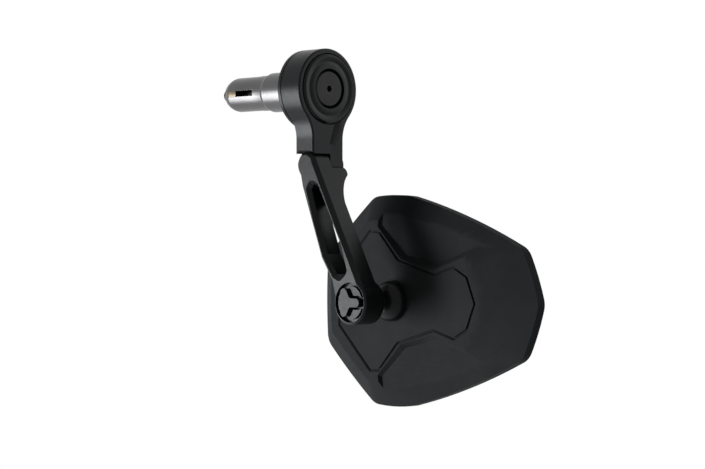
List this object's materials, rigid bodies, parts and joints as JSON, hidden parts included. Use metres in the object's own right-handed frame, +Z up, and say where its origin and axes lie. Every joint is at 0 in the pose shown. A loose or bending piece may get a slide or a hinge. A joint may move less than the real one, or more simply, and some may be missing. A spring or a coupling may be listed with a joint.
{
  "type": "motorcycle bar end mirror",
  "caption": "Bar end mirror on a folding skeleton arm: an expanding plug grips inside the handlebar and a ball joint carries the faceted mirror head.",
  "frame": {"origin": "on the bar's axis, where the end of the handlebar meets the plug's shoulder", "axes": "+X along the bar and outwards, +Z up, +Y to the rear, where the rider sits"},
  "size_m": [0.1888, 0.05, 0.1775],
  "materials": {
    "turned_aluminium": "turned",
    "black_anodised": "satin anodised",
    "dark_steel": "blackened",
    "bright_steel": "zinc plated",
    "brass": "turned",
    "black_plastic": "moulded satin",
    "pale_nylon": "moulded",
    "rubber": "matt",
    "mirror": "silvered"
  },
  "bodies": {
    "plug": {"plug_sleeve": "turned_aluminium", "expander_cone": "brass", "expander_bolt": "dark_steel", "bolt_washer": "bright_steel", "backing_flange": "black_anodised"},
    "upper_arm": {"upper_arm": "black_anodised", "cap_ring": "black_anodised", "fold_bush": "pale_nylon", "friction_disc": "pale_nylon"},
    "lower_arm": {"lower_arm": "black_anodised", "fold_screw": "dark_steel", "cup_washer": "bright_steel", "tension_plug": "black_anodised"},
    "tilt_cup": {"front_liner": "pale_nylon"},
    "pan_cup": {"rear_liner": "pale_nylon"},
    "mirror_head": {"ball_stud": "bright_steel", "stud_foot": "black_anodised", "mirror_housing": "black_plastic", "stud_plate": "bright_steel", "stud_screws": "bright_steel", "glass_pad": "rubber", "mirror_glass": "mirror", "rim_seal": "rubber"}
  },
  "joints": [
    {"name": "arm_swing", "type": "hinge", "parent": "plug", "child": "upper_arm", "pos_m": [0, 0, 0], "axis": [1, 0, 0], "continuous": true},
    {"name": "arm_fold", "type": "hinge", "parent": "upper_arm", "child": "lower_arm", "pos_m": [0.0348, 0, -0.03775], "axis": [0, 1, 0], "range_deg": [-25, 80]},
    {"name": "mirror_tilt", "type": "hinge", "parent": "lower_arm", "child": "tilt_cup", "pos_m": [0.066, -0.001, -0.105], "axis": [1, 0, 0], "range_deg": [-12, 12]},
    {"name": "mirror_pan", "type": "hinge", "parent": "tilt_cup", "child": "pan_cup", "pos_m": [0.066, -0.001, -0.105], "axis": [0, 0, 1], "range_deg": [-12, 12]},
    {"name": "mirror_turn", "type": "hinge", "parent": "pan_cup", "child": "mirror_head", "pos_m": [0.066, -0.001, -0.105], "axis": [0, 1, 0], "range_deg": [-20, 20]}
  ]
}
